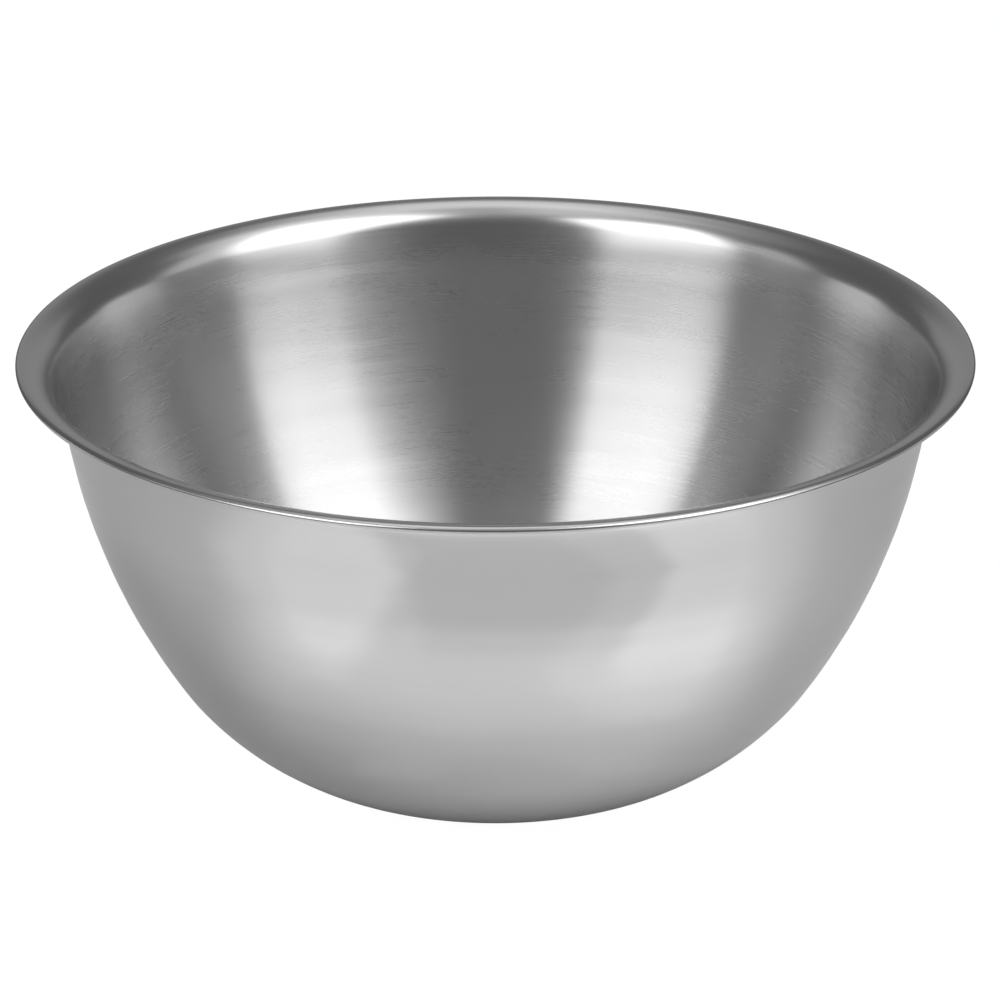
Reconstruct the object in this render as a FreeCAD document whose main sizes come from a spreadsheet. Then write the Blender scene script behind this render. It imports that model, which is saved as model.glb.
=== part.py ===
import FreeCAD, Part
import math
import os
import Sketcher

"""Deep stainless steel mixing bowl: one sheet drawn, flared and curled.

Frame: millimetres, +Z up, origin at the centre of the underside of the flat base.

The section runs from the axis outwards as a flat base, a knuckle, a belly and a
nearly straight upper wall, all convex to the outside. A flare turns the wall
outwards into a rounded lip that comes level at the very top. The edge then goes
under in a flattened curl: a roll, a tighter tuck and a short level return, whose
raw edge faces the hollow below the lip. All stretches meet tangentially and the
sheet has one thickness.
"""

doc = FreeCAD.newDocument("MixingBowl")

# ---------------------------------------------------------------- driving sizes
# alias, value (mm or degrees), meaning
SIZES = [
    ("rim_dia", 285.0, "outer diameter over the curl"),
    ("overall_height", 130.93, "table to the top of the lip"),
    ("sheet_thk", 0.6, "sheet thickness"),
    ("base_rad", 40.3, "radius of the flat base"),
    ("knuckle_rad", 63.8, "outside radius, base to belly"),
    ("knuckle_deg", 32.9, "sweep of the knuckle"),
    ("belly_rad", 83.0, "outside radius of the belly"),
    ("belly_deg", 24.8, "sweep of the belly"),
    ("wall_rad", 198.0, "outside radius of the upper wall"),
    ("flare_rad", 82.0, "radius of the easy outward flare, underside"),
    ("lip_rad", 10.4, "radius of the rounded lip, top side"),
    ("roll_rad", 1.7, "outside radius of the roll at the edge"),
    ("roll_deg", 48.0, "sweep of the roll, from the top of the lip"),
    ("tuck_rad", 0.8, "outside radius of the tuck that turns under"),
    ("return_len", 1.4, "length of the level return under the lip"),
]
WALL_ANGLE_GUESS = 80.6   # tangent from level where the wall ends, degrees
FLARE_ANGLE_GUESS = 70.2  # tangent from level where the flare ends, degrees

sheet = doc.addObject("Spreadsheet::Sheet", "Dims")
sheet.set("A1", "size")
sheet.set("B1", "value (mm or degrees)")
sheet.set("C1", "meaning")
for row, (alias, value, meaning) in enumerate(SIZES, start=2):
    sheet.set(f"A{row}", alias)
    sheet.set(f"B{row}", repr(value))
    sheet.setAlias(f"B{row}", alias)
    sheet.set(f"C{row}", meaning)
doc.recompute()
dims = {alias: float(getattr(sheet, alias)) for alias, _, _ in SIZES}

thickness = dims["sheet_thk"]
knuckle_angle = dims["knuckle_deg"]                # tangent where the knuckle ends
belly_angle = knuckle_angle + dims["belly_deg"]    # tangent where the belly ends


# ------------------------------------------------ start values for the section
# In the sketch x is the radius from the axis and y is the height.
def vec(x, y):
    return FreeCAD.Vector(x, y, 0.0)


def outward(degrees):
    """Outward normal of a skin whose tangent rises at this angle from level."""
    angle = math.radians(degrees)
    return vec(math.sin(angle), -math.cos(angle))


def arc_centres(wall_angle, flare_angle):
    """Centres of the arcs from knuckle to lip, for two trial tangent angles."""
    knuckle = vec(dims["base_rad"], dims["knuckle_rad"])
    belly = knuckle + outward(knuckle_angle) * (dims["knuckle_rad"] - dims["belly_rad"])
    wall = belly + outward(belly_angle) * (dims["belly_rad"] - dims["wall_rad"])
    flare = wall + outward(wall_angle) * (dims["wall_rad"] + dims["flare_rad"])
    lip_offset = dims["lip_rad"] - thickness - dims["flare_rad"]
    lip = flare + outward(flare_angle) * lip_offset
    return {"knuckle": knuckle, "belly": belly, "wall": wall, "flare": flare, "lip": lip}


def curl_centres():
    """Centres of roll and tuck: the tuck is outermost, the roll starts at the top."""
    offset = dims["roll_rad"] - dims["tuck_rad"]
    angle = math.radians(90.0 - dims["roll_deg"])
    roll_to_tuck = vec(math.cos(angle), math.sin(angle)) * offset
    roll = vec(dims["rim_dia"] / 2 - dims["tuck_rad"] - roll_to_tuck.x,
               dims["overall_height"] - dims["roll_rad"])
    return roll, roll + roll_to_tuck


def solve_angles(lip_goal):
    """Newton steps to the wall and flare angles that put the lip centre on lip_goal."""
    step = 1e-4
    wall_angle, flare_angle = WALL_ANGLE_GUESS, FLARE_ANGLE_GUESS

    def lip_miss(wall_trial, flare_trial):
        return arc_centres(wall_trial, flare_trial)["lip"] - lip_goal

    for _ in range(30):
        miss = lip_miss(wall_angle, flare_angle)
        if miss.Length < 1e-10:
            break
        by_wall = (lip_miss(wall_angle + step, flare_angle) - miss) * (1 / step)
        by_flare = (lip_miss(wall_angle, flare_angle + step) - miss) * (1 / step)
        determinant = by_wall.x * by_flare.y - by_flare.x * by_wall.y
        wall_angle -= (miss.x * by_flare.y - by_flare.x * miss.y) / determinant
        flare_angle -= (by_wall.x * miss.y - miss.x * by_wall.y) / determinant
    return wall_angle, flare_angle


# The sketch starts where its constraints will hold it.
roll_centre, tuck_centre = curl_centres()
wall_angle, flare_angle = solve_angles(
    vec(roll_centre.x, dims["overall_height"] - dims["lip_rad"]))
centres = arc_centres(wall_angle, flare_angle)
centres["roll"] = roll_centre
centres["tuck"] = tuck_centre

# Direction of each arc's start and end from its centre, counter-clockwise, degrees.
ARC_SPANS = {
    "knuckle": (-90, -90 + knuckle_angle),
    "belly": (-90 + knuckle_angle, -90 + belly_angle),
    "wall": (-90 + belly_angle, -90 + wall_angle),
    "flare": (90 + flare_angle, 90 + wall_angle),
    "lip": (90, 90 + flare_angle),
    "roll": (90 - dims["roll_deg"], 90),
    "tuck": (-90, 90 - dims["roll_deg"]),
}

# ------------------------------------------------------------- section geometry
body = doc.addObject("PartDesign::Body", "bowl_shell")
body.Label = "bowl_shell"
section = body.newObject("Sketcher::SketchObject", "sheet_section")
xz_plane = next(feature for feature in body.Origin.OriginFeatures
                if getattr(feature, "Role", "") == "XZ_Plane")
section.AttachmentSupport = [(xz_plane, "")]
section.MapMode = "FlatFace"
doc.recompute()

edges = {}  # edge name -> geometry index in the sketch


def add_arc(name, stretch, thickness_offset=0.0):
    """Arc of one stretch, its driving radius changed by thickness_offset."""
    circle = Part.Circle(centres[stretch], FreeCAD.Vector(0, 0, 1),
                         dims[stretch + "_rad"] + thickness_offset)
    first, last = (math.radians(angle) for angle in ARC_SPANS[stretch])
    edges[name] = section.addGeometry(Part.ArcOfCircle(circle, first, last))


def add_line(name, first, last):
    edges[name] = section.addGeometry(Part.LineSegment(first, last))


return_over_start = tuck_centre - vec(0, dims["tuck_rad"] - thickness)
return_under_start = tuck_centre - vec(0, dims["tuck_rad"])
return_run = vec(-dims["return_len"], 0)

# Outer skin first, round through the hollow of the curl to the raw edge.
add_line("base_under", vec(0, 0), vec(dims["base_rad"], 0))
for stretch in ("knuckle", "belly", "wall", "flare"):
    add_arc(stretch, stretch)
add_arc("lip_under", "lip", -thickness)
add_arc("roll_inside", "roll", -thickness)
add_arc("tuck_inside", "tuck", -thickness)
add_line("return_over", return_over_start, return_over_start + return_run)
add_line("raw_edge", return_over_start + return_run, return_under_start + return_run)

# Then the other skin: under the curl, over the lip, down the inside.
add_line("return_under", return_under_start, return_under_start + return_run)
add_arc("tuck", "tuck")
add_arc("roll", "roll")
add_arc("lip_top", "lip")
add_arc("flare_top", "flare", thickness)
add_arc("wall_in", "wall", -thickness)
add_arc("belly_in", "belly", -thickness)
add_arc("knuckle_in", "knuckle", -thickness)
add_line("base_top", vec(0, thickness), vec(dims["base_rad"], thickness))
add_line("axis_edge", vec(0, 0), vec(0, thickness))

# ---------------------------------------------------------- section constraints
START, END, CENTRE = 1, 2, 3
ORIGIN = (-1, START)


def point(edge, position):
    return edges[edge], position


def constrain(kind, *where):
    return section.addConstraint(Sketcher.Constraint(kind, *where))


def join_tangent(*joints):
    """Tangent joint at the named ends of each pair of edges."""
    for edge, edge_end, other, other_end in joints:
        constrain("Tangent", *point(edge, edge_end), *point(other, other_end))


def share_centre(*pairs):
    for edge, other in pairs:
        constrain("Coincident", *point(edge, CENTRE), *point(other, CENTRE))


def bind(kind, name, where, value, expression):
    """Named constraint driven by an expression on the spreadsheet."""
    index = constrain(kind, *where, value)
    section.renameConstraint(index, name)
    section.setExpression("Constraints." + name, expression)


def bind_edge(kind, name, edge, alias):
    """Radius, length or sweep of one edge, driven by one alias."""
    is_sweep = kind == "Angle"
    value = math.radians(dims[alias]) if is_sweep else dims[alias]
    unit = "deg" if is_sweep else "mm"
    bind(kind, name, (edges[edge],), value, f"Dims.{alias} * 1 {unit}")


# Outer skin.
constrain("Coincident", *point("base_under", START), *ORIGIN)
constrain("Horizontal", edges["base_under"])
join_tangent(
    ("base_under", END, "knuckle", START),
    ("knuckle", END, "belly", START),
    ("belly", END, "wall", START),
    ("wall", END, "flare", END),
    ("flare", START, "lip_under", END),
    ("lip_under", START, "roll_inside", END),
    ("roll_inside", START, "tuck_inside", END),
    ("tuck_inside", START, "return_over", START),
)
bind("DistanceX", "base_radius", (*point("base_under", START), *point("base_under", END)),
     dims["base_rad"], "Dims.base_rad * 1 mm")
bind_edge("Radius", "knuckle_radius", "knuckle", "knuckle_rad")
bind_edge("Angle", "knuckle_sweep", "knuckle", "knuckle_deg")
bind_edge("Radius", "belly_radius", "belly", "belly_rad")
bind_edge("Angle", "belly_sweep", "belly", "belly_deg")
bind_edge("Radius", "wall_radius", "wall", "wall_rad")
bind_edge("Radius", "flare_radius", "flare", "flare_rad")

# Lip and curl, held by the rim diameter and the overall height.
join_tangent(
    ("return_under", START, "tuck", START),
    ("tuck", END, "roll", START),
    ("roll", END, "lip_top", START),
)
bind("DistanceX", "tuck_out", (*ORIGIN, *point("tuck", CENTRE)), tuck_centre.x,
     "(Dims.rim_dia / 2 - Dims.tuck_rad) * 1 mm")
bind("DistanceY", "roll_up", (*ORIGIN, *point("roll", CENTRE)), roll_centre.y,
     "(Dims.overall_height - Dims.roll_rad) * 1 mm")
bind_edge("Radius", "lip_radius", "lip_top", "lip_rad")
bind_edge("Radius", "roll_radius", "roll", "roll_rad")
bind_edge("Angle", "roll_sweep", "roll", "roll_deg")
bind_edge("Radius", "tuck_radius", "tuck", "tuck_rad")
bind_edge("Distance", "return_length", "return_under", "return_len")
constrain("Vertical", *point("roll", END), *point("roll", CENTRE))
constrain("Horizontal", edges["return_under"])
constrain("Parallel", edges["return_over"], edges["return_under"])
constrain("Coincident", *point("raw_edge", START), *point("return_over", END))
constrain("Coincident", *point("raw_edge", END), *point("return_under", END))
constrain("Vertical", edges["raw_edge"])
share_centre(("tuck_inside", "tuck"), ("roll_inside", "roll"))

# Inner skin: concentric with the outer one, so the sheet keeps its thickness.
join_tangent(
    ("lip_top", END, "flare_top", START),
    ("flare_top", END, "wall_in", END),
    ("wall_in", START, "belly_in", END),
    ("belly_in", START, "knuckle_in", END),
    ("knuckle_in", START, "base_top", END),
)
share_centre(
    ("lip_under", "lip_top"),
    ("flare_top", "flare"),
    ("wall_in", "wall"),
    ("belly_in", "belly"),
    ("knuckle_in", "knuckle"),
)
constrain("Coincident", *point("axis_edge", START), *ORIGIN)
constrain("Coincident", *point("axis_edge", END), *point("base_top", START))
constrain("Vertical", edges["axis_edge"])
constrain("Horizontal", edges["base_top"])
bind("DistanceY", "sheet_thickness", (*point("axis_edge", START), *point("axis_edge", END)),
     thickness, "Dims.sheet_thk * 1 mm")
doc.recompute()

# ----------------------------------------------------------------- the pressing
pressing = body.newObject("PartDesign::Revolution", "pressing")
pressing.Profile = section
pressing.ReferenceAxis = (section, ["V_Axis"])
pressing.Angle = 360.0
pressing.Midplane = False
pressing.Reversed = False
body.Tip = pressing
doc.recompute()

# -------------------------------------------------------------- checks, output
for obj in doc.Objects:
    bad = [state for state in obj.State if state in ("Invalid", "Error")]
    if bad:
        raise RuntimeError(f"{obj.Name}: {', '.join(bad)}")

shape = body.Shape
if shape.isNull() or not shape.isValid() or len(shape.Solids) != 1:
    raise RuntimeError(f"{body.Label}: bad shape")
box = shape.optimalBoundingBox(False, False)
if abs(box.ZMin) > 1e-3 or abs(box.XLength - dims["rim_dia"]) > 0.02:
    raise RuntimeError(f"{body.Label}: wrong size")

os.makedirs("parts", exist_ok=True)
shape.exportStep(os.path.join("parts", body.Label + ".step"))
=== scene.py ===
"""A spun stainless steel bowl with a rolled lip, on a pale studio floor.

The bowl stands on z = 0 with its axis on Z. The camera looks from the front (-Y), so +X
is on the right. The section is worked in millimetres, everything else in metres.
"""

import math

import bpy
import numpy as np
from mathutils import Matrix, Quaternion, Vector


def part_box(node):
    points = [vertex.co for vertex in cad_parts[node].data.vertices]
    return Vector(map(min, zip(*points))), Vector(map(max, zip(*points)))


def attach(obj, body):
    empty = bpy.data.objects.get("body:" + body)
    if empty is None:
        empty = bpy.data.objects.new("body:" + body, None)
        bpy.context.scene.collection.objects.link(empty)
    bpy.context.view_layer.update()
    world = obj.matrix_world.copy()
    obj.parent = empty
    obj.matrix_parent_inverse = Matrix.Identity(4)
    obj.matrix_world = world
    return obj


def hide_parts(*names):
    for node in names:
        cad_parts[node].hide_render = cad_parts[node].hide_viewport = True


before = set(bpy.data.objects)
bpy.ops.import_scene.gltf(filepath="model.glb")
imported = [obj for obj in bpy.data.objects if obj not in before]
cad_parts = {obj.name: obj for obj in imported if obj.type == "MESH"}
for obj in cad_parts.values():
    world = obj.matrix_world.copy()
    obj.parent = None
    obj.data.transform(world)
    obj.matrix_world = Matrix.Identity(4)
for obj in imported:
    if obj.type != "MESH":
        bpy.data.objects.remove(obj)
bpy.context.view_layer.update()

# --------------------------------------------------------------------------
# Sizes of the section: a chain of tangent arcs (mm, degrees)
# --------------------------------------------------------------------------
MM = 1000.0                      # millimetres in a metre
shell_low, shell_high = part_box("bowl_shell")
RIM_R = round((shell_high.x - shell_low.x + shell_high.y - shell_low.y) * 1000 / 4, 1)
TALL = (shell_high.z - shell_low.z) * 1000
SHEET = 0.6                      # sheet thickness
BASE_R = 40.3                    # flat base
# radii of the lower face of the sheet
KNUCKLE_R, KNUCKLE_SWEEP = 63.8, 32.9
BELLY_R, BELLY_SWEEP = 83.0, 24.8
WALL_R = 198.0
FLARE_R = 82.0
# radii of the upper face of the sheet
LIP_R = 10.4
ROLL_R, ROLL_SWEEP = 1.7, 48.0
TUCK_R = 0.8
RETURN = 1.4                     # flat run back towards the axis after the tuck
EDGE_BREAK = 0.06                # broken corners of the raw edge

# the wall's slope where each arc ends
KNUCKLE_END = KNUCKLE_SWEEP
BELLY_END = KNUCKLE_SWEEP + BELLY_SWEEP
SLOPE_GUESS = [80.6, 70.2]       # where the wall and the flare end, before solving
SLOPE_STEP = 1e-4

# stretches of the section
OUTSIDE, CURL, LIP, INSIDE = range(4)


def outward(slope):
    """Unit normal away from the bowl's inside where the section has that slope."""
    angle = math.radians(slope)
    return np.array([math.sin(angle), -math.cos(angle)])


def arc_centres(wall_end, flare_end):
    """Centres of the knuckle, belly, wall, flare and lip, each tangent to the last."""
    knuckle = np.array([BASE_R, KNUCKLE_R])
    joint = knuckle + outward(KNUCKLE_END) * KNUCKLE_R
    belly = joint - outward(KNUCKLE_END) * BELLY_R
    joint = belly + outward(BELLY_END) * BELLY_R
    wall = joint - outward(BELLY_END) * WALL_R
    joint = wall + outward(wall_end) * WALL_R
    flare = joint + outward(wall_end) * FLARE_R
    joint = flare - outward(flare_end) * FLARE_R
    lip = joint + outward(flare_end) * (LIP_R - SHEET)
    return knuckle, belly, wall, flare, lip


# the roll and tuck are placed from the rim
TUCK_START = 90 - ROLL_SWEEP
roll_dir = np.array([math.cos(math.radians(TUCK_START)), math.sin(math.radians(TUCK_START))])
roll_centre = np.array([RIM_R - TUCK_R - roll_dir[0] * (ROLL_R - TUCK_R), TALL - ROLL_R])
tuck_centre = roll_centre + roll_dir * (ROLL_R - TUCK_R)
lip_goal = np.array([roll_centre[0], TALL - LIP_R])


def lip_miss(slopes):
    return arc_centres(*slopes)[-1] - lip_goal


# Newton steps bring the lip's centre under the roll's start
slopes = np.array(SLOPE_GUESS)
for _ in range(30):
    miss = lip_miss(slopes)
    if np.abs(miss).max() < 1e-9:
        break
    jacobian = np.stack([(lip_miss(slopes + step) - miss) / SLOPE_STEP
                         for step in np.eye(2) * SLOPE_STEP], 1)
    slopes = slopes - np.linalg.solve(jacobian, miss)
WALL_END, FLARE_END = slopes
knuckle_centre, belly_centre, wall_centre, flare_centre, lip_centre = arc_centres(*slopes)

# --------------------------------------------------------------------------
# The section: out along the lower face, round the raw edge, back on the upper face
# --------------------------------------------------------------------------
section, normals, zones = [], [], []


def add(points, point_normals, zone):
    """Appends a stretch of the section; its first point repeats the last one."""
    start = 1 if section else 0
    section.extend(points[start:])
    normals.extend(point_normals[start:])
    zones.extend([zone] * (len(points) - start))


def add_arc(centre, radius, start, end, steps, zone, facing=1):
    """facing 1: the surface faces away from the arc's centre; -1: towards it."""
    angles = np.radians(np.linspace(start, end, steps + 1))
    units = np.stack([np.cos(angles), np.sin(angles)], 1)
    add(centre + radius * units, facing * units, zone)


def add_line(start, end, steps, normal, zone):
    part = np.linspace(0, 1, steps + 1)[:, None]
    points = np.asarray(start) * (1 - part) + np.asarray(end) * part
    add(points, [np.array(normal)] * len(points), zone)


UP, DOWN, INWARD = [0, 1.0], [0, -1.0], [-1.0, 0]

add_line([0, 0], [BASE_R, 0], 12, DOWN, OUTSIDE)
add_arc(knuckle_centre, KNUCKLE_R, -90, -90 + KNUCKLE_END, 18, OUTSIDE)
add_arc(belly_centre, BELLY_R, -90 + KNUCKLE_END, -90 + BELLY_END, 18, OUTSIDE)
add_arc(wall_centre, WALL_R, -90 + BELLY_END, -90 + WALL_END, 36, OUTSIDE)
add_arc(flare_centre, FLARE_R, 90 + WALL_END, 90 + FLARE_END, 9, OUTSIDE, facing=-1)
add_arc(lip_centre, LIP_R - SHEET, 90 + FLARE_END, 90, 12, CURL, facing=-1)
add_arc(roll_centre, ROLL_R - SHEET, 90, TUCK_START, 5, CURL, facing=-1)
add_arc(tuck_centre, TUCK_R - SHEET, TUCK_START, -90, 6, CURL, facing=-1)

upper_end = tuck_centre + np.array([-RETURN, -(TUCK_R - SHEET)])
lower_end = tuck_centre + np.array([-RETURN, -TUCK_R])
level_break = np.array([EDGE_BREAK, 0])
upright_break = np.array([0, EDGE_BREAK])
add_line(tuck_centre + np.array([0, -(TUCK_R - SHEET)]), upper_end + level_break, 2, UP, CURL)
add([upper_end + level_break, upper_end - upright_break,
     lower_end + upright_break, lower_end + level_break], [np.array(INWARD)] * 4, CURL)
add_line(lower_end + level_break, tuck_centre + np.array([0, -TUCK_R]), 2, DOWN, CURL)

add_arc(tuck_centre, TUCK_R, -90, TUCK_START, 14, LIP)
add_arc(roll_centre, ROLL_R, TUCK_START, 90, 10, LIP)
add_arc(lip_centre, LIP_R, 90, 90 + FLARE_END, 28, LIP)
add_arc(flare_centre, FLARE_R + SHEET, 90 + FLARE_END, 90 + WALL_END, 12, INSIDE)
add_arc(wall_centre, WALL_R - SHEET, -90 + WALL_END, -90 + BELLY_END, 36, INSIDE, facing=-1)
add_arc(belly_centre, BELLY_R - SHEET, -90 + BELLY_END, -90 + KNUCKLE_END, 18, INSIDE, facing=-1)
add_arc(knuckle_centre, KNUCKLE_R - SHEET, -90 + KNUCKLE_END, -90, 18, INSIDE, facing=-1)
add_line([BASE_R, SHEET], [0, SHEET], 12, UP, INSIDE)

section, normals, zones = np.array(section), np.array(normals), np.array(zones)
steps_long = np.linalg.norm(np.diff(section, axis=0), axis=1)
run = np.concatenate([[0], np.cumsum(steps_long)])      # length along the section

# --------------------------------------------------------------------------
# Faint waves of a drawn and spun wall, the same on both faces of the sheet
# --------------------------------------------------------------------------
SEGMENTS = 368
# level rings: depth, pitch, phase, then how far, how often and from what phase they wander
RING_WAVES = [
    (0.020, 13.0, 0.0, 0.5, 1, 0.6),
    (0.012, 7.6, 1.1, 0.7, 2, 1.9),
    (0.030, 31.0, 2.0, 0.0, 0, 0.0),
]
# waves round the bowl: depth, lobes, phase, and how they change with height
LOBE_DEPTH, LOBES, LOBE_PHASE, LOBE_PITCH = 0.030, 3, 0.4, 90.0
TWIST_DEPTH, TWISTS, TWIST_PHASE, TWIST_RISE = 0.018, 7, 2.1, 40.0
# the waves start this far above the base and stop this far under the rim, with soft ends
CALM_BASE, CALM_BASE_FADE = 4, 18
CALM_RIM, CALM_RIM_FADE = 9, 14


def wall_waves(turn, height):
    rings = sum(depth * np.sin(2 * np.pi * height / pitch + phase
                               + wander * np.sin(turns * turn + wander_phase))
                for depth, pitch, phase, wander, turns, wander_phase in RING_WAVES)
    lobes = (LOBE_DEPTH * np.sin(LOBES * turn + LOBE_PHASE)
             * np.sin(2 * np.pi * height / LOBE_PITCH))
    twist = TWIST_DEPTH * np.sin(TWISTS * turn + TWIST_PHASE + height / TWIST_RISE)
    return rings + lobes + twist


def lathe_grid():
    """Points (m), one row of SEGMENTS for each point of the section."""
    heights = section[:, 1]
    calm = (np.clip((heights - CALM_BASE) / CALM_BASE_FADE, 0, 1)
            * np.clip((TALL - CALM_RIM - heights) / CALM_RIM_FADE, 0, 1))
    calm = calm * calm * (3 - 2 * calm)
    turn, height = np.meshgrid(np.linspace(0, 2 * np.pi, SEGMENTS, endpoint=False), heights)
    side = np.where(zones == OUTSIDE, 1.0, np.where(zones == INSIDE, -1.0, 0.0))
    shift = wall_waves(turn, height) * calm[:, None] * side[:, None]
    radius = section[:, 0][:, None] + shift * normals[:, 0][:, None]
    z = section[:, 1][:, None] + shift * normals[:, 1][:, None]
    return np.stack([radius * np.cos(turn), radius * np.sin(turn), z], -1) / MM


def lathe_mesh():
    """The closed sheet with a pole at each end of the section; also each face's zone."""
    rings = lathe_grid()[1:-1]
    verts = [tuple(point) for point in rings.reshape(-1, 3)]
    low_pole, high_pole = len(verts), len(verts) + 1
    verts += [(0, 0, section[0, 1] / MM), (0, 0, section[-1, 1] / MM)]
    faces, face_zones = [], []
    for i in range(len(rings) - 1):
        low, high = i * SEGMENTS, (i + 1) * SEGMENTS
        for j in range(SEGMENTS):
            k = (j + 1) % SEGMENTS
            faces.append((low + j, low + k, high + k, high + j))
            face_zones.append(zones[i + 2])
    last = (len(rings) - 1) * SEGMENTS
    for j in range(SEGMENTS):
        k = (j + 1) % SEGMENTS
        faces += [(low_pole, k, j), (high_pole, last + j, last + k)]
        face_zones += [OUTSIDE, INSIDE]
    mesh = bpy.data.meshes.new("bowl_sheet")
    mesh.from_pydata(verts, [], faces)
    mesh.update()
    return mesh, face_zones


def per_loop(collection, name):
    values = np.zeros(len(collection), np.int64)
    collection.foreach_get(name, values)
    return values


def map_lathe(mesh):
    """Stores the section's run for the brush marks, and UVs: u round, v along the run."""
    vertex_run = np.concatenate([np.repeat(run[1:-1], SEGMENTS), [run[0], run[-1]]])
    vertex_run = vertex_run.astype(np.float32)
    attribute = mesh.attributes.new("section_run", "FLOAT", "POINT")
    attribute.data.foreach_set("value", vertex_run)

    uv_layer = mesh.uv_layers.new(name="lathe")
    vertex_turn = np.concatenate([np.tile(np.arange(SEGMENTS) / SEGMENTS, len(run) - 2), [0, 0]])
    corners = per_loop(mesh.loops, "vertex_index")
    across = vertex_turn[corners]
    along = vertex_run[corners] / run[-1]
    # faces over the seam run on past 1
    for start, total in zip(per_loop(mesh.polygons, "loop_start"),
                            per_loop(mesh.polygons, "loop_total")):
        face = across[start:start + total]
        if face.max() - face.min() > 0.5:
            face[face < 0.5] += 1.0
    uv_layer.data.foreach_set("uv", np.stack([across, along], 1).astype(np.float32).ravel())


sheet, face_zones = lathe_mesh()
bowl = bpy.data.objects.new("bowl_sheet", sheet)
bpy.context.scene.collection.objects.link(bowl)
sheet.shade_smooth()
map_lathe(sheet)


# --------------------------------------------------------------------------
# Node helpers
# --------------------------------------------------------------------------
class Nodes:
    """Builds the node tree of a material or world; values may be numbers or sockets."""

    def __init__(self, owner):
        owner.use_nodes = True
        self.tree = owner.node_tree
        self.tree.nodes.clear()

    def new(self, kind, inputs=None, **props):
        node = self.tree.nodes.new(kind)
        for name, value in props.items():
            setattr(node, name, value)
        for name, value in (inputs or {}).items():
            self.put(node.inputs[name], value)
        return node

    def put(self, socket, value):
        if isinstance(value, bpy.types.NodeSocket):
            self.tree.links.new(value, socket)
        else:
            socket.default_value = value

    def math(self, operation, *values):
        return self.new("ShaderNodeMath", dict(enumerate(values)), operation=operation).outputs[0]

    def fold(self, operation, total, *values):
        for value in values:
            total = self.math(operation, total, value)
        return total

    def add(self, *values):
        return self.fold("ADD", *values)

    def mul(self, *values):
        return self.fold("MULTIPLY", *values)

    def sub(self, *values):
        return self.fold("SUBTRACT", *values)

    def vmath(self, operation, *vectors):
        node = self.new("ShaderNodeVectorMath", dict(enumerate(vectors)), operation=operation)
        return node.outputs["Value" if operation in ("DOT_PRODUCT", "LENGTH") else "Vector"]

    def scaled(self, vector, scale):
        return self.new("ShaderNodeVectorMath", {0: vector, "Scale": scale},
                        operation="SCALE").outputs["Vector"]

    def combine(self, *parts):
        return self.new("ShaderNodeCombineXYZ", dict(enumerate(parts))).outputs[0]

    def split(self, vector):
        return self.new("ShaderNodeSeparateXYZ", {0: vector}).outputs

    def noise(self, vector, detail, rough, scale=1.0):
        return self.new("ShaderNodeTexNoise",
                        {"Vector": vector, "Scale": scale, "Detail": detail, "Roughness": rough},
                        noise_dimensions="3D").outputs["Fac"]

    def remap(self, value, over, to=(0.0, 1.0), kind="LINEAR"):
        """Takes the range `over` to the range `to`, clamped."""
        inputs = {"Value": value, "From Min": over[0], "From Max": over[1],
                  "To Min": to[0], "To Max": to[1]}
        return self.new("ShaderNodeMapRange", inputs, clamp=True,
                        interpolation_type=kind).outputs["Result"]

    def ease(self, value, over, to=(0.0, 1.0)):
        return self.remap(value, over, to, kind="SMOOTHSTEP")

    def mix(self, factor, first, second):
        """Mixes two shader nodes."""
        return self.new("ShaderNodeMixShader",
                        {0: factor, 1: first.outputs[0], 2: second.outputs[0]})


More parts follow.
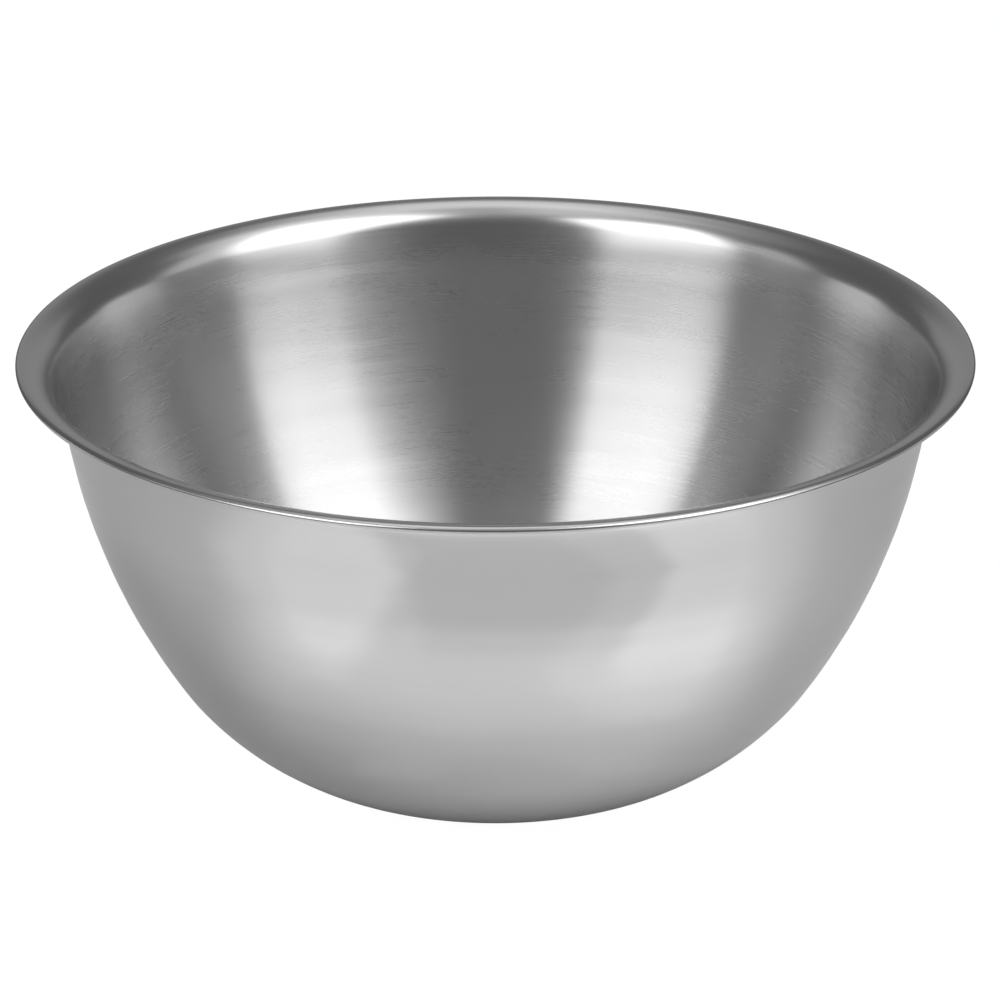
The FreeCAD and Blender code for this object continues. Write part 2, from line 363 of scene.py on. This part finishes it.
# --------------------------------------------------------------------------
# Steel
# --------------------------------------------------------------------------
def steel(name, colour, rough, aniso, streak_rough, streak_colour, mottle_rough, scratch,
          bump, sway, lip_finish=None):
    """Stainless steel with level brush marks, soft mottling and a few stray scratches.

    streak_, mottle_ and scratch values say how far each changes roughness or colour;
    bump is the marks' relief, sway how far they turn the surface sideways.
    lip_finish: the finish fades from that one at the lip.
    """
    grain_shares = {"fine": 0.42, "middle": 0.36, "broad": 0.22}
    mottle_colour = 0.05
    scratch_relief = 0.3
    sway_peaks = 18.0           # lets the strongest marks turn the surface more
    least_rough = 0.04
    relief_mm = 0.010

    material = bpy.data.materials.new(name)
    nodes = Nodes(material)
    add, mul, sub = nodes.add, nodes.mul, nodes.sub
    position = nodes.new("ShaderNodeTexCoord").outputs["Object"]
    radial = nodes.vmath("NORMALIZE", nodes.vmath("MULTIPLY", position, (1.0, 1.0, 0.0)))
    along_section = nodes.new("ShaderNodeAttribute", attribute_name="section_run").outputs["Fac"]

    def streaks(around, per_mm, seed, detail, rough, slant=0.0):
        """Noise drawn out round the bowl: its rate around, and across the marks."""
        x, y, _ = nodes.split(nodes.scaled(radial, around))
        across = mul(along_section, per_mm)
        if slant:
            across = add(across, mul(x, slant))
        return nodes.noise(nodes.combine(add(x, seed), y, across), detail, rough)

    fine = streaks(around=6.0, per_mm=1.7, seed=3.1, detail=2, rough=0.55)
    middle = streaks(around=3.0, per_mm=0.9, seed=11.7, detail=3, rough=0.6)
    broad = streaks(around=1.3, per_mm=0.16, seed=23.9, detail=2, rough=0.5)
    mottle = nodes.noise(nodes.scaled(position, 1.0), scale=38, detail=3, rough=0.55)
    # two sets of scratches, leaning opposite ways
    rising = streaks(around=2.2, per_mm=2.1, slant=3.0, seed=41.0, detail=1, rough=0.4)
    falling = streaks(around=3.4, per_mm=1.7, slant=-4.0, seed=57.0, detail=1, rough=0.4)
    marks = nodes.math("MAXIMUM", nodes.remap(rising, over=(0.71, 0.80)),
                       nodes.remap(falling, over=(0.73, 0.82)))

    grain = add(mul(fine, grain_shares["fine"]),
                add(mul(middle, grain_shares["middle"]), mul(broad, grain_shares["broad"])))
    centred = sub(grain, 0.5)

    def mottled(amount):
        return mul(sub(mottle, 0.5), amount)

    shade = add(1.0, mul(centred, streak_colour), mottled(mottle_colour))
    if lip_finish:
        fade = (lip_finish["start"], lip_finish["start"] + lip_finish["length"])
        aniso = nodes.ease(along_section, over=fade, to=(lip_finish["aniso"], aniso))
        rough = nodes.ease(along_section, over=fade, to=(lip_finish["rough"], rough))
    roughness = add(rough, mul(centred, streak_rough), mottled(mottle_rough),
                    mul(marks, scratch))

    tangent = nodes.new("ShaderNodeTangent", direction_type="RADIAL", axis="Z").outputs[0]
    surface = nodes.new("ShaderNodeNewGeometry").outputs["Normal"]
    pull = sub(streaks(around=5.0, per_mm=1.1, slant=0.8, seed=71.0, detail=3, rough=0.6), 0.5)
    pull = mul(add(pull, mul(mul(pull, pull, pull), sway_peaks)), sway)
    swayed = nodes.vmath("NORMALIZE", nodes.vmath("ADD", surface, nodes.scaled(tangent, pull)))
    relief = nodes.new("ShaderNodeBump", {
        "Normal": swayed,
        "Strength": bump,
        "Distance": relief_mm / MM,
        "Height": sub(grain, mul(marks, scratch_relief)),
    })
    metal = nodes.new("ShaderNodeBsdfPrincipled", {
        "Base Color": nodes.scaled(nodes.combine(*colour), shade),
        "Metallic": 1.0,
        "Roughness": nodes.math("MAXIMUM", roughness, least_rough),
        "Anisotropic": aniso,
        "Anisotropic Rotation": 0.25,
        "Tangent": tangent,
        "Normal": relief.outputs[0],
    })
    nodes.new("ShaderNodeOutputMaterial", {0: metal.outputs[0]})
    return material


STEEL_GREY = (0.600, 0.600, 0.606)
lip_run = float(run[np.where(zones == INSIDE)[0][0]])
for finish in (
    steel("satin_outside", STEEL_GREY, rough=0.13, aniso=0.35, streak_rough=0.08,
          streak_colour=0.08, mottle_rough=0.05, scratch=0.04, bump=0.25, sway=0.006),
    steel("rim_steel", STEEL_GREY, rough=0.24, aniso=0.5, streak_rough=0.06,
          streak_colour=0.06, mottle_rough=0.05, scratch=0.04, bump=0.3, sway=0.004),
    steel("brushed_inside", (0.600, 0.598, 0.602), rough=0.28, aniso=1.0, streak_rough=0.12,
          streak_colour=0.09, mottle_rough=0.06, scratch=0.03, bump=0.4, sway=0.012,
          lip_finish={"start": lip_run, "length": 12.0, "rough": 0.25, "aniso": 0.5}),
):
    sheet.materials.append(finish)
SLOT_OF_ZONE = {OUTSIDE: 0, CURL: 0, LIP: 1, INSIDE: 2}
sheet.polygons.foreach_set("material_index", [SLOT_OF_ZONE[int(zone)] for zone in face_zones])

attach(bowl, "root")
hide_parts("bowl_shell")

# --------------------------------------------------------------------------
# Floor
# --------------------------------------------------------------------------
FLOOR_HALF = 30.0
FLOOR_DROP = 0.0002              # keeps the floor just clear of the base
WHITE = (1, 1, 1, 1)


def painted_table_light(nodes):
    """Brightness of the table as the steel reflects it, painted into its colour: a painted
    falloff, ring, pools and side-card light (m, degrees).
    """
    add, mul, sub, ease = nodes.add, nodes.mul, nodes.sub, nodes.ease
    position = nodes.new("ShaderNodeNewGeometry").outputs["Position"]
    # painted falloff of light: the table's colour dimmer away from a spot in front of the bowl
    away = nodes.vmath("LENGTH", nodes.vmath("SUBTRACT", position, (0.0, -0.10, 0.0)))
    painted_tone = mul(ease(away, over=(0.12, 0.42), to=(0.86, 0.63)),
               ease(away, over=(0.32, 0.60), to=(1.0, 0.2)))
    x, y, _ = nodes.split(position)
    front = mul(y, -1.0)
    far = nodes.vmath("LENGTH", position)

    def bearing():
        """Degrees from the front (-Y) towards +X."""
        return mul(nodes.math("ARCTAN2", x, front), 180 / math.pi)

    # painted light: a soft bright ring in the table's colour in front of the bowl
    turned = nodes.math("ABSOLUTE", bearing())
    painted_ring = mul(ease(far, over=(0.095, 0.150)),
               ease(far, over=(0.158, 0.215), to=(1.0, 0.0)),
               ease(turned, over=(45.0, 75.0), to=(1.0, 0.0)))
    # painted light: a pool in the table's colour under each soft box; the right one's inner edge
    # slants
    painted_left_pool = mul(ease(x, over=(-0.098, -0.070), to=(1.0, 0.0)),
                    ease(front, over=(0.080, 0.140)))
    slant_x, slant_front, slant_slope = 0.08, 0.16, 2.0
    past_slant = sub(x, slant_x, mul(sub(front, slant_front), slant_slope))
    painted_right_pool = mul(ease(past_slant, over=(-0.020, 0.020)),
                     ease(front, over=(0.020, 0.125)),
                     ease(x, over=(0.05, 0.08)))
    painted_pools = mul(nodes.math("MAXIMUM", painted_left_pool, painted_right_pool),
               mul(ease(far, over=(0.135, 0.175)), ease(far, over=(0.28, 0.42), to=(1.0, 0.0))))
    # painted light: the side cards stand on the table, so their light is painted into its colour
    # out towards them
    signed = bearing()
    card_light_reach = mul(ease(far, over=(0.30, 0.50)), ease(far, over=(3.0, 5.0), to=(1.0, 0.0)))
    off_left = nodes.math("ABSOLUTE", add(signed, -LEFT_CARD))
    off_right = nodes.math("ABSOLUTE", sub(signed, RIGHT_CARD))
    painted_card_light = nodes.math("MAXIMUM", ease(off_left, over=(9.0, 15.0), to=(0.75, 0.0)),
                       ease(off_right, over=(9.0, 16.0), to=(0.50, 0.0)))
    painted_tone = nodes.math("MAXIMUM", painted_tone, mul(card_light_reach, painted_card_light))
    base_level, painted_ring_gain, painted_pool_gain = 0.93, 0.36, 0.27
    return mul(painted_tone, add(base_level, add(mul(painted_ring, painted_ring_gain), mul(painted_pools, painted_pool_gain))))


def floor_material():
    material = bpy.data.materials.new("pale_floor")
    nodes = Nodes(material)
    # seen straight on: almost evenly white, with a trace of real shading
    glow = nodes.new("ShaderNodeEmission", {"Color": WHITE, "Strength": 1.03})
    shaded = nodes.new("ShaderNodeBsdfDiffuse", {"Color": (0.9, 0.9, 0.9, 1)})
    shading_share = 0.04
    seen = nodes.mix(shading_share, glow, shaded)
    # seen in the steel: a white table with a soft gloss, with painted light and shade in its
    # colour
    painted_tone = painted_table_light(nodes)
    painted_light_matt = nodes.new("ShaderNodeBsdfDiffuse", {"Color": nodes.combine(painted_tone, painted_tone, painted_tone)})
    gloss = nodes.new("ShaderNodeBsdfAnisotropic", {"Color": WHITE, "Roughness": 0.08})
    gloss_share = 0.035
    table = nodes.mix(gloss_share, painted_light_matt, gloss)
    path = nodes.new("ShaderNodeLightPath")
    pick = nodes.mix(path.outputs["Is Camera Ray"], table, seen)
    nodes.new("ShaderNodeOutputMaterial", {0: pick.outputs[0]})
    return material


# bearings of the low side cards, shared by the floor and the room
LEFT_CARD, RIGHT_CARD = -109.0, 112.0

floor_mesh = bpy.data.meshes.new("studio_floor")
floor_mesh.from_pydata([(x * FLOOR_HALF, y * FLOOR_HALF, 0)
                        for x, y in ((-1, -1), (1, -1), (1, 1), (-1, 1))], [], [(0, 1, 2, 3)])
floor = bpy.data.objects.new("studio_floor", floor_mesh)
floor.location = (0, 0, -FLOOR_DROP)
bpy.context.scene.collection.objects.link(floor)
floor_mesh.materials.append(floor_material())

# --------------------------------------------------------------------------
# Room: soft lights painted on the world
# --------------------------------------------------------------------------
world = bpy.data.worlds.new("soft_room")
bpy.context.scene.world = world
room_nodes = Nodes(world)
ray = room_nodes.new("ShaderNodeTexCoord").outputs["Generated"]


def panel(bearing, elevation, wide, tall, strength, soft, taper=0.0, grade=0.0):
    """A soft-edged rectangle of light; wide and tall in degrees.

    bearing runs from -Y towards +X, elevation up from level. taper widens the panel
    towards the top, grade makes the top brighter than the bottom.
    """
    nodes = room_nodes
    turn, rise = math.radians(bearing), math.radians(elevation)
    centre = Vector((math.sin(turn) * math.cos(rise), -math.cos(turn) * math.cos(rise),
                     math.sin(rise)))
    side = Vector((0, 0, 1)).cross(centre).normalized()
    top = centre.cross(side).normalized()
    grazing = 0.02              # rays nearer edge-on than this miss the panel
    facing = nodes.vmath("DOT_PRODUCT", ray, tuple(centre))
    depth = nodes.math("MAXIMUM", facing, grazing)
    across = nodes.math("DIVIDE", nodes.vmath("DOT_PRODUCT", ray, tuple(side)), depth)
    upward = nodes.math("DIVIDE", nodes.vmath("DOT_PRODUCT", ray, tuple(top)), depth)
    half_wide, half_tall = math.tan(math.radians(wide / 2)), math.tan(math.radians(tall / 2))
    span = (-half_tall, half_tall)
    across = nodes.math("DIVIDE", across,
                        nodes.remap(upward, over=span, to=(1.0 - taper, 1.0 + taper)))
    level = nodes.remap(upward, over=span,
                        to=(strength * (1.0 - grade), strength * (1.0 + grade)))

    def within(distance, half):
        return nodes.ease(nodes.math("ABSOLUTE", distance),
                          over=(half - soft, half + soft), to=(1.0, 0.0))

    return nodes.mul(within(across, half_wide), within(upward, half_tall),
                     nodes.remap(facing, over=(grazing, 0.08)), level)


lights = [
    # right and left soft boxes
    panel(bearing=59.5, elevation=41, wide=36, tall=54, strength=2.18, soft=0.05,
          taper=0.12, grade=0.18),
    panel(bearing=-48.5, elevation=35, wide=35, tall=44, strength=2.28, soft=0.04,
          taper=-0.13, grade=0.20),
    # the right box's spill, low on its inner side
    panel(bearing=36, elevation=9, wide=14, tall=18, strength=0.32, soft=0.14),
    # top light, a little behind the bowl
    panel(bearing=180, elevation=68, wide=20, tall=36, strength=0.70, soft=0.12),
    # the boxes' spill overhead
    panel(bearing=84, elevation=65, wide=44, tall=28, strength=0.75, soft=0.20),
    panel(bearing=-80, elevation=78, wide=40, tall=16, strength=0.50, soft=0.12),
    # the boxes' outer wings
    panel(bearing=90, elevation=31, wide=20, tall=36, strength=0.54, soft=0.08),
    panel(bearing=-84, elevation=25, wide=18, tall=30, strength=0.46, soft=0.08),
    # side cards, low
    panel(bearing=LEFT_CARD, elevation=3, wide=22, tall=14, strength=0.85, soft=0.05),
    panel(bearing=RIGHT_CARD, elevation=3, wide=24, tall=14, strength=0.65, soft=0.05),
    # the wall behind
    panel(bearing=180, elevation=16, wide=60, tall=22, strength=0.20, soft=0.10),
]
ROOM_LEVEL = 0.13
TABLE_LIFT = 0.26                # extra light the table takes beyond what the steel mirrors
height_cosine = room_nodes.vmath("DOT_PRODUCT", ray, (0.0, 0.0, 1.0))
ceiling = room_nodes.ease(height_cosine, over=(0.70, 0.90), to=(0.0, 0.22))
total = room_nodes.add(ROOM_LEVEL, ceiling, *lights)
path = room_nodes.new("ShaderNodeLightPath")
lift = room_nodes.add(1.0, room_nodes.mul(path.outputs["Is Diffuse Ray"], TABLE_LIFT))
room = room_nodes.new("ShaderNodeBackground",
                      {"Color": room_nodes.combine(total, total, total), "Strength": lift})
plain = room_nodes.new("ShaderNodeBackground", {"Color": WHITE})
backdrop = room_nodes.mix(path.outputs["Is Camera Ray"], room, plain)
room_nodes.new("ShaderNodeOutputWorld", {0: backdrop.outputs[0]})

# --------------------------------------------------------------------------
# Camera and view
# --------------------------------------------------------------------------
TARGET = Vector((0, 0, 0.0810))
ELEVATION = math.radians(22.085)
DISTANCE = 1.425
CAMERA_ROLL = math.radians(-0.12)

scene = bpy.context.scene
lens = bpy.data.cameras.new("camera")
camera = bpy.data.objects.new("camera", lens)
scene.collection.objects.link(camera)
scene.camera = camera
lens.sensor_width = 36.0
lens.lens = 169.90
lens.shift_x = 0.0043
lens.shift_y = 0.0016
lens.clip_start, lens.clip_end = 0.05, 200.0
back = Vector((0, -math.cos(ELEVATION), math.sin(ELEVATION)))
camera.location = TARGET + back * DISTANCE
camera.rotation_mode = "QUATERNION"
level = (-back).to_track_quat("-Z", "Y")
camera.rotation_quaternion = level @ Quaternion((0, 0, 1), CAMERA_ROLL)

scene.view_settings.view_transform = "Standard"
scene.view_settings.look = "None"
scene.view_settings.exposure = 0.0
scene.view_settings.gamma = 1.0
